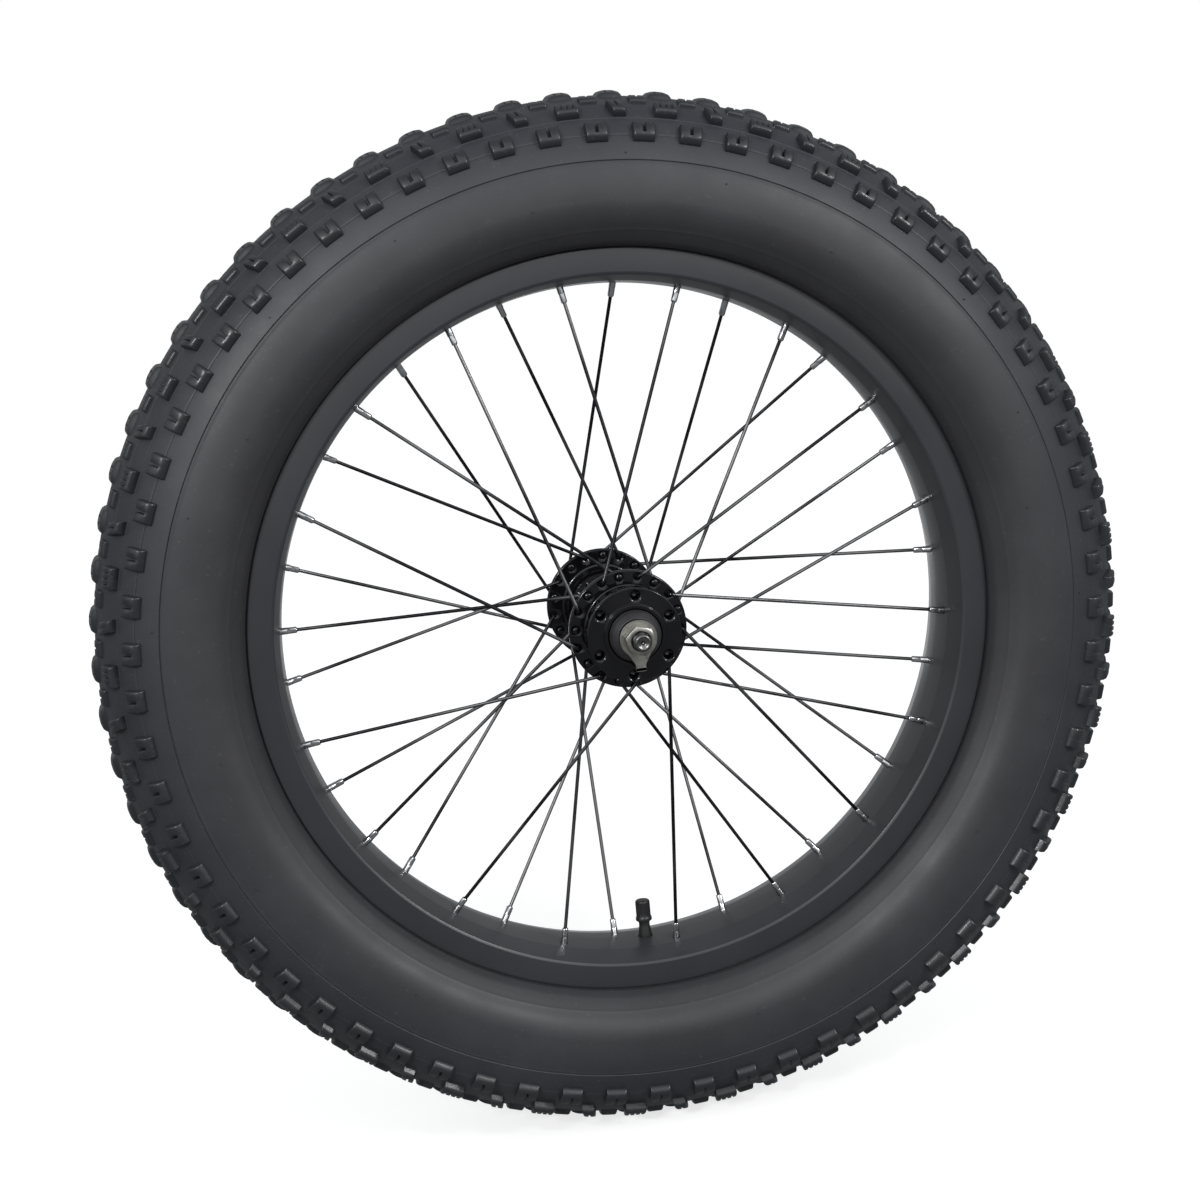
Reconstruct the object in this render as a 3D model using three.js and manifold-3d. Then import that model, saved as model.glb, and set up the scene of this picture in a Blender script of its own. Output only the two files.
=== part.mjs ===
// Spoked front wheel for a 20 x 4.0 fat-tyre bicycle: nutted axle, six-bolt disc hub,
// 36 crossed spokes, single-wall alloy rim, knobbly tyre, inner tube and car-type valve.
//
// Millimetres. The axle lies along Y, +Z is up, and the origin is the wheel's centre.
// The disc-brake side is -Y. An angle "beta" runs from +Z towards +X round the axle.
import * as THREE from 'three';
import { mergeVertices } from 'three/addons/utils/BufferGeometryUtils.js';
import Module from 'manifold-3d';

// ---------------------------------------------------------------- driving dimensions

// Tyre: a round casing on the rim, with the tread standing on its outer part.
const TYRE_RADIUS = 295.5;          // to the top of the centre tread blocks
const CASING_CENTRE = 243;          // radius of the circle through the casing's middle
const CASING_RADIUS = 48.5;
const CASING_WALL = 2.6;
const TREAD_HEIGHT = TYRE_RADIUS - CASING_CENTRE - CASING_RADIUS;
const TREAD_EDGE_DEG = 62;          // where the tread ends, round the casing from its crown
const SIDEWALL_END_DEG = 128;       // where the casing turns in over the rim's flange

// Rim: ISO 406 bead seat, 64.6 wide, an open channel towards the tyre.
const RIM_FLANGE_RADIUS = 209.5;
const BEAD_SEAT_RADIUS = 203.2;
const RIM_HALF_WIDTH = 32.3;
const BARREL_RADIUS = 189.5;        // hub-side surface at the middle of the rim
const BARREL_EDGE_RADIUS = 194.8;
const RIM_WALL = 2.4;

// Spokes: 36, crossed twice, 2.0 thick, with 12 long nipples.
const SPOKE_COUNT = 36;
const SPOKE_RADIUS = 1.0;
const SPOKE_HEAD_RADIUS = 2.1;
const SPOKE_CROSS_DEG = 40;         // turn between a spoke's hub hole and its rim hole
const RIM_HOLE_OFFSET = 10;         // rim holes stand this far to each side of the middle
const NIPPLE_TIP_RADIUS = 181.5;    // distance from the axle to the nipple's hub end
const NIPPLE_HEAD_RADIUS = 193.3;   // distance from the axle to the nipple head's seat
const NIPPLE_HEAD_HEIGHT = 1.3;

// Hub: two flanges on a barrel, a six-bolt disc mount on the -Y side.
const FLANGE_RADIUS = 33.2;
const FLANGE_THICKNESS = 3.2;
const DISC_FLANGE_Y = -36.2;        // middle of each flange
const PLAIN_FLANGE_Y = 48.8;
const SPOKE_CIRCLE_RADIUS = 29.5;
const DISC_FACE_Y = -58;
const DISC_FACE_RADIUS = 26.25;
const DISC_BOLT_CIRCLE = 44;
const DISC_BOLT_COUNT = 6;
const PILOT_RADIUS = 17.2;
const HUB_END_Y = 60.2;
const CUP_BORE_RADIUS = 13.8;

// Bearings: loose 3/16 inch balls in a retainer, between a pressed cup and a screwed cone.
const BALL_RADIUS = 2.38;
const BALL_COUNT = 9;
const BALL_CIRCLE_RADIUS = 9.4;
const BALL_Y = 51.6;
const RACE_RADIUS = 2.7;

// Axle: M10, 168 long, 135 between the locknut faces.
const AXLE_RADIUS = 5;
const AXLE_HALF_LENGTH = 84;
const AXLE_BORE_RADIUS = 5.35;
const LOCKNUT_FACE_Y = 67.5;
const DUST_CAP_RADIUS = 14.35;
const WASHER_RADIUS = 10.35;
const NUT_ACROSS_FLATS = 15;
const NUT_END_Y = 78;

// Valve: a car-type valve at the bottom of the wheel, beta = 180.
const VALVE_STEM_RADIUS = 3.95;
const VALVE_CAP_TIP = 168;          // distances from the axle
const VALVE_CAP_MOUTH = 180.3;

const GAP = 0.3;                    // left between pieces that touch
const WHEEL_SIDES = 40;
const HUB_SIDES = 24;
const SMALL_SIDES = 18;
const SPOKE_SIDES = 5;

const radians = THREE.MathUtils.degToRad;
const AXLE_DIRECTION = new THREE.Vector3(0, 1, 0);

// ---------------------------------------------------------------- solids and booleans

const wasm = await Module();
wasm.setup();

// A geometry with shared vertices and no collapsed triangles, as a manifold solid.
function toSolid(geometry) {
  const bare = geometry.clone();
  bare.deleteAttribute('normal');
  bare.deleteAttribute('uv');
  const merged = mergeVertices(bare, 1e-4);
  const index = merged.index.array;
  const triangles = [];
  for (let i = 0; i < index.length; i += 3) {
    const [a, b, c] = [index[i], index[i + 1], index[i + 2]];
    if (a !== b && b !== c && c !== a) {
      triangles.push(a, b, c);
    }
  }
  const mesh = new wasm.Mesh({
    numProp: 3,
    vertProperties: new Float32Array(merged.attributes.position.array),
    triVerts: new Uint32Array(triangles),
  });
  return new wasm.Manifold(mesh);
}

function toGeometry(solid) {
  const mesh = solid.getMesh();
  const geometry = new THREE.BufferGeometry();
  geometry.setAttribute('position', new THREE.BufferAttribute(mesh.vertProperties, 3));
  geometry.setIndex(new THREE.BufferAttribute(mesh.triVerts, 1));
  geometry.computeVertexNormals();
  return geometry;
}

function joined(geometries) {
  return geometries.map(toSolid).reduce((whole, piece) => whole.add(piece));
}

// ---------------------------------------------------------------- shape helpers

// Points are [distance from the axle, y]. The outer side runs towards +Y.
function turned(points, sides, firstAngle = 0) {
  const outline = points.map(([r, y]) => new THREE.Vector2(r, y));
  return new THREE.LatheGeometry(outline, sides, firstAngle);
}

// A turned ring: the outline closes on itself.
function ring(points, sides, firstAngle = 0) {
  return turned([...points, points[0]], sides, firstAngle);
}

// The same outline on the other side of the wheel, still running the same way round.
function otherSide(points) {
  return points.map(([r, y]) => [r, -y]).reverse();
}

// Half an outline (y >= 0, from the inside out) and its mirror image, as one closed outline.
function symmetric(half) {
  const onAxisStart = half[0][1] === 0;
  const onAxisEnd = half[half.length - 1][1] === 0;
  const mirrored = otherSide(half);
  return [
    ...half,
    ...mirrored.slice(onAxisEnd ? 1 : 0, onAxisStart ? -1 : undefined),
  ];
}

// Points of an arc round [r, y]; 0 degrees points away from the axle, 90 degrees along +Y.
function arc(centre, radius, fromDeg, toDeg, steps) {
  const points = [];
  for (let i = 0; i <= steps; i += 1) {
    const angle = radians(fromDeg + ((toDeg - fromDeg) * i) / steps);
    points.push([centre[0] + radius * Math.cos(angle), centre[1] + radius * Math.sin(angle)]);
  }
  return points;
}

function polar(radius, betaDeg, y) {
  const beta = radians(betaDeg);
  return new THREE.Vector3(radius * Math.sin(beta), y, radius * Math.cos(beta));
}

// A flat outline in X and Z, given thickness along Y.
function plate(shape, lowY, highY, curveSegments = SMALL_SIDES) {
  const options = { depth: highY - lowY, bevelEnabled: false, curveSegments };
  const geometry = new THREE.ExtrudeGeometry(shape, options);
  geometry.rotateX(Math.PI / 2);
  geometry.translate(0, highY, 0);
  return geometry;
}

// A straight bar with a round section between two points.
function rod(from, to, radius, sides) {
  const direction = to.clone().sub(from);
  const geometry = new THREE.CylinderGeometry(radius, radius, direction.length(), sides);
  geometry.applyQuaternion(turnOnto(direction));
  const middle = from.clone().add(to).multiplyScalar(0.5);
  geometry.translate(middle.x, middle.y, middle.z);
  return geometry;
}

function turnOnto(direction) {
  return new THREE.Quaternion().setFromUnitVectors(AXLE_DIRECTION, direction.clone().normalize());
}

function hexagon(acrossFlats, firstVertexDeg) {
  const corner = acrossFlats / Math.sqrt(3);
  const shape = new THREE.Shape();
  for (let i = 0; i < 6; i += 1) {
    const angle = radians(firstVertexDeg + 60 * i);
    const [x, z] = [corner * Math.sin(angle), corner * Math.cos(angle)];
    if (i === 0) {
      shape.moveTo(x, z);
    } else {
      shape.lineTo(x, z);
    }
  }
  shape.closePath();
  return shape;
}

function withBore(shape, radius) {
  const hole = new THREE.Path();
  hole.absarc(0, 0, radius, 0, 2 * Math.PI, false);
  shape.holes.push(hole);
  return shape;
}

// ---------------------------------------------------------------- the model's group

const wheel = new THREE.Group();

function add(name, geometry, color, roughness, metalness) {
  const material = new THREE.MeshStandardMaterial({ color, roughness, metalness });
  const mesh = new THREE.Mesh(geometry, material);
  mesh.name = name;
  wheel.add(mesh);
}

const rubberBlack = [0x26272a, 0.75, 0];
const rimBlack = [0x1b1c1f, 0.42, 0.6];
const hubBlack = [0x141519, 0.22, 0.7];
const spokeBlack = [0x2a2b2f, 0.35, 0.8];
const zincSteel = [0xb4b3aa, 0.35, 1];
const bearingSteel = [0x8e9094, 0.25, 1];
const brass = [0xa8905a, 0.35, 1];
const softRubber = [0x3c3d40, 0.8, 0];
const capBlack = [0x1a1a1c, 0.55, 0];

// ---------------------------------------------------------------- rim, strip, tube, tyre

const rimHalf = [
  [BARREL_RADIUS + RIM_WALL, 0],
  [BARREL_RADIUS + RIM_WALL + 1.1, 16],
  [196.4, 29.6],
  [200.9, 29.6],
  [200.6, 20.6],
  [202.6, 20.6],
  [BEAD_SEAT_RADIUS, 29.8],
  [RIM_FLANGE_RADIUS, 30.4],
  [RIM_FLANGE_RADIUS, RIM_HALF_WIDTH],
  [196.4, RIM_HALF_WIDTH],
  [BARREL_EDGE_RADIUS, RIM_HALF_WIDTH - 0.7],
  [BARREL_RADIUS + 1.7, 16],
  [BARREL_RADIUS, 0],
];

// The tyre's outline from the crown, over the tread and sidewall, round the bead and back inside.
function tyreHalf() {
  const centre = [CASING_CENTRE, 0];
  const bead = [
    [210.2, 34],
    [210.2, 29.9],
    [204.2, 29.3],
    [203.6, 26],
    [208.6, 26.2],
  ];
  return [
    ...arc(centre, CASING_RADIUS + TREAD_HEIGHT, 0, TREAD_EDGE_DEG, 3),
    ...arc(centre, CASING_RADIUS, TREAD_EDGE_DEG + 3, SIDEWALL_END_DEG, 3),
    ...bead,
    ...arc(centre, CASING_RADIUS - CASING_WALL, SIDEWALL_END_DEG, 0, 4),
  ];
}

const TUBE_CENTRE = 244.5;
const TUBE_RADIUS = 41.5;
const TUBE_WALL = 1.2;
const TUBE_SIDES = 24;
const TUBE_SECTION_SIDES = 12;
const STRIP_RADIUS = 196.6;
const STRIP_THICKNESS = 0.9;
const STRIP_HALF_WIDTH = 18.5;

function tubeSkin(radius) {
  const half = 180 / TUBE_SECTION_SIDES;
  const section = arc([TUBE_CENTRE, 0], radius, half, 360 - half, TUBE_SECTION_SIDES - 1);
  return toSolid(ring(section, TUBE_SIDES, radians(180 / TUBE_SIDES)));
}

function valveBore(radius) {
  return toSolid(rod(polar(180, 180, 0), polar(212, 180, 0), radius, 8));
}

const tubeHole = valveBore(VALVE_STEM_RADIUS + 0.6);
const tube = tubeSkin(TUBE_RADIUS).subtract(tubeSkin(TUBE_RADIUS - TUBE_WALL)).subtract(tubeHole);
const strip = toSolid(ring([
  [STRIP_RADIUS, STRIP_HALF_WIDTH],
  [STRIP_RADIUS, -STRIP_HALF_WIDTH],
  [STRIP_RADIUS + STRIP_THICKNESS, -STRIP_HALF_WIDTH],
  [STRIP_RADIUS + STRIP_THICKNESS, STRIP_HALF_WIDTH],
], WHEEL_SIDES)).subtract(tubeHole);

// ---------------------------------------------------------------- spokes

// Spokes go round the rim in fours: heads in or out, leading or trailing, near side or far side.
// Odd spokes sit in the disc-side flange. "outside" means that the spoke runs outside its flange.
function spokeLayout(index) {
  const discSide = index % 2 === 1;
  const trailing = index % 4 === 0 || index % 4 === 1;
  const side = discSide ? -1 : 1;
  const flangeY = discSide ? DISC_FLANGE_Y : PLAIN_FLANGE_Y;
  const outside = trailing;
  const rimBeta = 10 * index + 5;
  const hubBeta = rimBeta + (trailing ? -SPOKE_CROSS_DEG : SPOKE_CROSS_DEG);
  const outward = outside ? side : -side;
  const face = flangeY + (outward * FLANGE_THICKNESS) / 2;
  const lift = outside ? (discSide ? 2.4 : 2.9) : 1.4;
  return {
    elbow: polar(SPOKE_CIRCLE_RADIUS, hubBeta, face + outward * lift),
    head: polar(SPOKE_CIRCLE_RADIUS, hubBeta, face - outward * (FLANGE_THICKNESS + 1.9)),
    rim: polar(BARREL_RADIUS, rimBeta, side * RIM_HOLE_OFFSET),
  };
}

// The headed end: a flat head and a shank through the flange, ending at the elbow.
function spokeHead({ head, elbow }) {
  const length = head.distanceTo(elbow);
  const profile = [
    [0, 0],
    [SPOKE_HEAD_RADIUS, 0.2],
    [SPOKE_RADIUS, 1.6],
    [SPOKE_RADIUS, length],
    [0, length + 0.5],
  ];
  const geometry = turned(profile, SPOKE_SIDES);
  geometry.applyQuaternion(turnOnto(elbow.clone().sub(head)));
  geometry.translate(head.x, head.y, head.z);
  return geometry;
}

// The long end: from the elbow to the rim, with its nipple screwed on.
function spokeBlade({ elbow, rim }) {
  const direction = rim.clone().sub(elbow);
  const reach = direction.length();
  const stretch = reach / (BARREL_RADIUS - elbowDepth(elbow, rim));
  const along = (radius) => reach + (radius - BARREL_RADIUS) * stretch;
  const nippleStart = along(NIPPLE_TIP_RADIUS);
  const seat = along(NIPPLE_HEAD_RADIUS);
  const profile = [
    [0, -0.5],
    [SPOKE_RADIUS, 0],
    [SPOKE_RADIUS, nippleStart],
    [1.75, nippleStart + 0.3],
    [2.0, seat],
    [3.0, seat],
    [2.8, seat + NIPPLE_HEAD_HEIGHT],
    [0, seat + NIPPLE_HEAD_HEIGHT],
  ];
  const geometry = turned(profile, SPOKE_SIDES);
  geometry.applyQuaternion(turnOnto(direction));
  geometry.translate(elbow.x, elbow.y, elbow.z);
  return geometry;
}

// How far out along the rim hole's own radius the elbow lies.
function elbowDepth(elbow, rim) {
  const outwards = new THREE.Vector3(rim.x, 0, rim.z).normalize();
  return elbow.dot(outwards);
}

// The hole that a nipple sits in, drilled along its spoke.
function nippleHole({ elbow, rim }) {
  const direction = rim.clone().sub(elbow).normalize();
  const from = rim.clone().addScaledVector(direction, -6);
  const to = rim.clone().addScaledVector(direction, 7);
  return toSolid(rod(from, to, 2.7, SPOKE_SIDES));
}

function spokeHole({ head, elbow }) {
  const middle = (head.y + elbow.y) / 2;
  const low = new THREE.Vector3(head.x, middle - FLANGE_THICKNESS, head.z);
  const high = new THREE.Vector3(head.x, middle + FLANGE_THICKNESS, head.z);
  return toSolid(rod(low, high, SPOKE_RADIUS + 0.5, SPOKE_SIDES));
}

const layouts = Array.from({ length: SPOKE_COUNT }, (_, index) => spokeLayout(index));

const rimBlank = toSolid(ring(symmetric(rimHalf), WHEEL_SIDES));
const rim = layouts.map(nippleHole).reduce((whole, hole) => whole.subtract(hole), rimBlank)
  .subtract(valveBore(VALVE_STEM_RADIUS + 0.7));

add('tyre', ring(symmetric(tyreHalf()), WHEEL_SIDES), ...rubberBlack);
add('inner_tube', toGeometry(tube), ...softRubber);
add('rim_strip', toGeometry(strip), ...softRubber);
add('rim', toGeometry(rim), ...rimBlack);
layouts.forEach((layout, index) => {
  const name = `spoke_${String(index + 1).padStart(2, '0')}`;
  add(name, toGeometry(joined([spokeHead(layout), spokeBlade(layout)])), ...spokeBlack);
});

// ---------------------------------------------------------------- hub shell

// One flange's outline from the side nearer -Y, with its edges broken by a small chamfer.
function flangeOutline(middleY, lowFoot, highFoot) {
  const low = middleY - FLANGE_THICKNESS / 2;
  const high = middleY + FLANGE_THICKNESS / 2;
  const chamfer = 0.5;
  return [
    [lowFoot, low],
    [FLANGE_RADIUS - chamfer, low],
    [FLANGE_RADIUS, low + chamfer],
    [FLANGE_RADIUS, high - chamfer],
    [FLANGE_RADIUS - chamfer, high],
    [highFoot, high],
  ];
}

const hubOutline = [
  [PILOT_RADIUS - 2.2, -HUB_END_Y],
  [PILOT_RADIUS, -HUB_END_Y],
  [PILOT_RADIUS, DISC_FACE_Y],
  [DISC_FACE_RADIUS, DISC_FACE_Y],
  [DISC_FACE_RADIUS, DISC_FACE_Y + 9],
  [22.5, -44.5],
  [22.5, -40],
  ...flangeOutline(DISC_FLANGE_Y, 24.5, 24),
  [20.5, -31.5],
  [19.8, 0],
  [20.5, 44.1],
  ...flangeOutline(PLAIN_FLANGE_Y, 23.5, 21.5),
  [18, 53.5],
  [PILOT_RADIUS, HUB_END_Y],
  [PILOT_RADIUS - 2.2, HUB_END_Y],
  [PILOT_RADIUS - 2.2, 57.3],
  [CUP_BORE_RADIUS, 57.3],
  [CUP_BORE_RADIUS, 47.3],
  [11, 47.3],
  [11, -47.3],
  [CUP_BORE_RADIUS, -47.3],
  [CUP_BORE_RADIUS, -57.3],
  [PILOT_RADIUS - 2.2, -57.3],
];

function discBoltHole(index) {
  const beta = 6 + (360 / DISC_BOLT_COUNT) * index;
  const radius = DISC_BOLT_CIRCLE / 2;
  return toSolid(rod(polar(radius, beta, DISC_FACE_Y - 1), polar(radius, beta, DISC_FACE_Y + 7.5), 2.5, 8));
}

const hubHoles = [
  ...layouts.map(spokeHole),
  ...Array.from({ length: DISC_BOLT_COUNT }, (_, index) => discBoltHole(index)),
];
const hubBlank = toSolid(ring(hubOutline, HUB_SIDES));
add('hub_shell', toGeometry(hubHoles.reduce((whole, hole) => whole.subtract(hole), hubBlank)), ...hubBlack);

// ---------------------------------------------------------------- bearings and axle set

// Outlines are for the +Y end; the -Y end takes their mirror image.
const ballCentre = [BALL_CIRCLE_RADIUS, BALL_Y];
const cupOutline = [
  [10.1, 47.6],
  [CUP_BORE_RADIUS - GAP, 47.6],
  [CUP_BORE_RADIUS - GAP, 57],
  [12.4, 57],
  ...arc(ballCentre, RACE_RADIUS, 0, -75, 3),
];
const coneOutline = [
  [AXLE_BORE_RADIUS, 50.4],
  [6.6, 50.4],
  ...arc(ballCentre, RACE_RADIUS, 180, 105, 3),
  [9.2, 54.6],
  [9.2, 62],
  [AXLE_BORE_RADIUS, 62],
];
const dustCapOutline = [
  [9.6, 58.9],
  [DUST_CAP_RADIUS, 58.9],
  [DUST_CAP_RADIUS, 60.8],
  [13.4, 63.6],
  [10.9, 66.6],
  [10.3, 66.6],
  [10.3, 65.6],
  [12.6, 62.2],
  [12.6, 60.4],
  [9.6, 60.4],
];

// Balls joined by their retainer, which lies on the balls' outer side.
function ballRing(side) {
  const retainer = [
    [9.9, BALL_Y + 1.6],
    [11.3, BALL_Y + 1.6],
    [11.3, BALL_Y + 2.6],
    [9.9, BALL_Y + 2.6],
  ];
  const pieces = [ring(side > 0 ? retainer : otherSide(retainer), SMALL_SIDES)];
  for (let i = 0; i < BALL_COUNT; i += 1) {
    const ball = new THREE.OctahedronGeometry(BALL_RADIUS, 1);
    const centre = polar(BALL_CIRCLE_RADIUS, (360 / BALL_COUNT) * i, side * BALL_Y);
    ball.translate(centre.x, centre.y, centre.z);
    pieces.push(ball);
  }
  return toGeometry(joined(pieces));
}

// A round washer whose tab points down and hooks inwards into the fork end.
function tabWasher(side) {
  const tabHalfWidth = 2.8;
  const tabEnd = 18;
  const leave = radians(38);
  const shape = new THREE.Shape();
  shape.moveTo(-tabHalfWidth, -tabEnd);
  shape.lineTo(-tabHalfWidth, -14.5);
  shape.lineTo(-WASHER_RADIUS * Math.sin(leave), -WASHER_RADIUS * Math.cos(leave));
  shape.absarc(0, 0, WASHER_RADIUS, -Math.PI / 2 - leave, -Math.PI / 2 + leave, true);
  shape.lineTo(tabHalfWidth, -14.5);
  shape.lineTo(tabHalfWidth, -tabEnd);
  shape.closePath();
  const inner = LOCKNUT_FACE_Y + GAP;
  const outer = inner + 2.2;
  const hook = new THREE.BoxGeometry(2 * tabHalfWidth, 5.5, 1.8);
  hook.translate(0, side * (outer - 2.75), 0.9 - tabEnd);
  const low = side > 0 ? inner : -outer;
  const body = plate(withBore(shape, AXLE_BORE_RADIUS), low, low + 2.2, 12);
  return toGeometry(joined([body, hook]));
}

const NUT_CORNER_DEG = 46;
const ends = [
  ['disc_side', -1],
  ['plain_side', 1],
];
for (const [end, side] of ends) {
  const atEnd = (outline) => (side > 0 ? outline : otherSide(outline));
  const between = (near, far) => (side > 0 ? [near, far] : [-far, -near]);
  const locknut = withBore(hexagon(17, 0), AXLE_BORE_RADIUS);
  const axleNut = withBore(hexagon(NUT_ACROSS_FLATS, NUT_CORNER_DEG), AXLE_BORE_RADIUS);
  const [lockLow, lockHigh] = between(62.3, LOCKNUT_FACE_Y);
  const [nutLow, nutHigh] = between(LOCKNUT_FACE_Y + 2.2 + 2 * GAP, NUT_END_Y);
  add(`${end}_bearing_cup`, ring(atEnd(cupOutline), SMALL_SIDES), ...bearingSteel);
  add(`${end}_ball_ring`, ballRing(side), ...bearingSteel);
  add(`${end}_cone`, ring(atEnd(coneOutline), SMALL_SIDES), ...bearingSteel);
  add(`${end}_dust_cap`, ring(atEnd(dustCapOutline), SMALL_SIDES), ...softRubber);
  add(`${end}_locknut`, plate(locknut, lockLow, lockHigh, 9), ...bearingSteel);
  add(`${end}_tab_washer`, tabWasher(side), ...zincSteel);
  add(`${end}_axle_nut`, plate(axleNut, nutLow, nutHigh, 9), ...zincSteel);
}

const axleOutline = [
  [0, -AXLE_HALF_LENGTH],
  [AXLE_RADIUS - 1, -AXLE_HALF_LENGTH],
  [AXLE_RADIUS, -AXLE_HALF_LENGTH + 1],
  [AXLE_RADIUS, AXLE_HALF_LENGTH - 1],
  [AXLE_RADIUS - 1, AXLE_HALF_LENGTH],
  [0, AXLE_HALF_LENGTH],
];
add('axle', turned(axleOutline, SMALL_SIDES), ...zincSteel);

// ---------------------------------------------------------------- valve

// Outlines are [radius about the valve's own axis, distance from the wheel's axle].
function valvePiece(points, sides = 12) {
  const geometry = points[0][0] === 0 ? turned(points, sides) : ring(points, sides);
  geometry.rotateX(-Math.PI / 2);
  return geometry;
}

const VALVE_THREAD_RADIUS = 3.55;
const CORE_BORE_RADIUS = 2.75;
const VALVE_TIP = 171.4;
const VALVE_FOOT = 204.5;           // the stem's flange lies inside the tube's wall
add('valve_stem', valvePiece([
  [CORE_BORE_RADIUS, VALVE_TIP],
  [VALVE_THREAD_RADIUS, VALVE_TIP],
  [VALVE_THREAD_RADIUS, VALVE_CAP_MOUTH + 0.5],
  [3.0, VALVE_CAP_MOUTH + 1.1],
  [VALVE_STEM_RADIUS, 188.5],
  [VALVE_STEM_RADIUS, VALVE_FOOT],
  [8, VALVE_FOOT],
  [8, VALVE_FOOT + 1.2],
  [1.9, VALVE_FOOT + 1.2],
  [1.9, 195],
  [CORE_BORE_RADIUS, 195],
]), ...softRubber);
add('valve_core', valvePiece([
  [1.2, VALVE_TIP + 0.8],
  [CORE_BORE_RADIUS - 0.35, VALVE_TIP + 0.8],
  [CORE_BORE_RADIUS - 0.35, 190],
  [1.2, 190],
]), ...brass);
add('valve_pin', valvePiece([
  [0, VALVE_TIP - 0.3],
  [0.8, VALVE_TIP - 0.3],
  [0.8, 190.3],
  [1.9, 190.4],
  [1.9, 191.6],
  [0, 191.6],
], 8), ...brass);
add('valve_cap', valvePiece([
  [0, VALVE_CAP_TIP],
  [3.4, VALVE_CAP_TIP],
  [4.2, VALVE_CAP_TIP + 0.9],
  [4.3, 176.5],
  [4.7, VALVE_CAP_MOUTH],
  [4.0, VALVE_CAP_MOUTH],
  [3.95, VALVE_CAP_TIP + 1.5],
  [0, VALVE_CAP_TIP + 1.5],
]), ...capBlack);

export default wheel;
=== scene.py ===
"""Looks for a 20 x 4.0 fat-tyre bicycle wheel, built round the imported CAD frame.

Shapes are worked out in millimetres and written in metres. The axle lies along Y, +Z is up, the
disc-brake side is -Y, and an angle beta runs from +Z towards +X round the axle.
"""

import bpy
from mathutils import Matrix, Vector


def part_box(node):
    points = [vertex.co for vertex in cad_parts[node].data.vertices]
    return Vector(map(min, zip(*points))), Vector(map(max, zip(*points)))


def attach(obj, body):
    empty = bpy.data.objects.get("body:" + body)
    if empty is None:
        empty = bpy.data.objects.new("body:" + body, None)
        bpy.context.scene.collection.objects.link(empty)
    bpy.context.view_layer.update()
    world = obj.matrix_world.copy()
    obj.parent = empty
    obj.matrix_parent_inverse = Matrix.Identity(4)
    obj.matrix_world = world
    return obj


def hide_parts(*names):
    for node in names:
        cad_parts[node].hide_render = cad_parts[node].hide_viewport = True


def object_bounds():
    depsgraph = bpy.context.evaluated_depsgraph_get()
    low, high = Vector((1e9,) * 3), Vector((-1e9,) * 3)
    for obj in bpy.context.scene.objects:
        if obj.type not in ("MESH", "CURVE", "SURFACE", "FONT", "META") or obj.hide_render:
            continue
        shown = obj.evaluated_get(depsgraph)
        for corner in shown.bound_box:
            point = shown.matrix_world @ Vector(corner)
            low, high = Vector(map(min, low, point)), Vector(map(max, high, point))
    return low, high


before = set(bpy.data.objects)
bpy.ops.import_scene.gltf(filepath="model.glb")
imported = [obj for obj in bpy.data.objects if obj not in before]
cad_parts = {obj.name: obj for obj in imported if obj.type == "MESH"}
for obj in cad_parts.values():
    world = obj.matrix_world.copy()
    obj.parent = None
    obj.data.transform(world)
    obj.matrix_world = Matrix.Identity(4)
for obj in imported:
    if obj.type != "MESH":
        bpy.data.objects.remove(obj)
cad_box = [list(corner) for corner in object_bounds()]

import math

import bmesh
import bpy
import numpy as np
from mathutils import Vector

MM = 0.001
TAU = 2 * math.pi
NEAR, FAR = -1, 1                   # the disc side and the plain side


def node_points(node):
    """A CAD node's vertices, in millimetres."""
    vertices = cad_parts[node].data.vertices
    return np.array([v.co for v in vertices], float) / MM


def node_radius(node):
    points = node_points(node)
    return float(np.hypot(points[:, 0], points[:, 2]).max())


def node_reach(node):
    """How far along +Y a CAD node goes, in millimetres."""
    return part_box(node)[1].y / MM


# ---------------------------------------------------------------- dimensions shared with the CAD

TYRE_RADIUS = node_radius("tyre")
CASING_CENTRE = 243.0
CASING_RADIUS = 48.5
CASING_WALL = 2.6
SIDEWALL_END = 139.0
PITCHES = 66                        # tread pitches round the tyre
RIM_RADIUS = node_radius("rim")
RIM_HALF_WIDTH = node_reach("rim")
BARREL_RADIUS = 189.5
SPOKE_COUNT = 36
SPOKE_RADIUS = 1.0
SPOKE_CROSS_DEG = 40
SPOKE_CIRCLE_RADIUS = 29.5
RIM_HOLE_OFFSET = 10
NIPPLE_TIP_RADIUS = 181.5
NIPPLE_HEAD_RADIUS = 193.3
FLANGE_THICKNESS = 3.2
FLANGE_RADIUS = node_radius("hub_shell")
DISC_FLANGE_Y = -36.2
PLAIN_FLANGE_Y = 48.8
DISC_FACE_Y = -58.0
HUB_END = node_reach("hub_shell")
AXLE_END = node_reach("axle")
AXLE_RADIUS = node_radius("axle")
BORE_RADIUS = 5.2
LOCKNUT_FACE = node_reach("plain_side_locknut")
NUT_END = node_reach("plain_side_axle_nut")
VALVE_CAP_TIP = -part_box("valve_cap")[1].z / MM

# ---------------------------------------------------------------- shells: (points in mm, faces)


def strip_faces(rings, count, closed_ring, closed_round):
    faces = []
    for i in range(rings if closed_round else rings - 1):
        k = (i + 1) % rings
        for j in range(count if closed_ring else count - 1):
            m = (j + 1) % count
            faces.append((i * count + j, i * count + m, k * count + m, k * count + j))
    return faces


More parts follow.
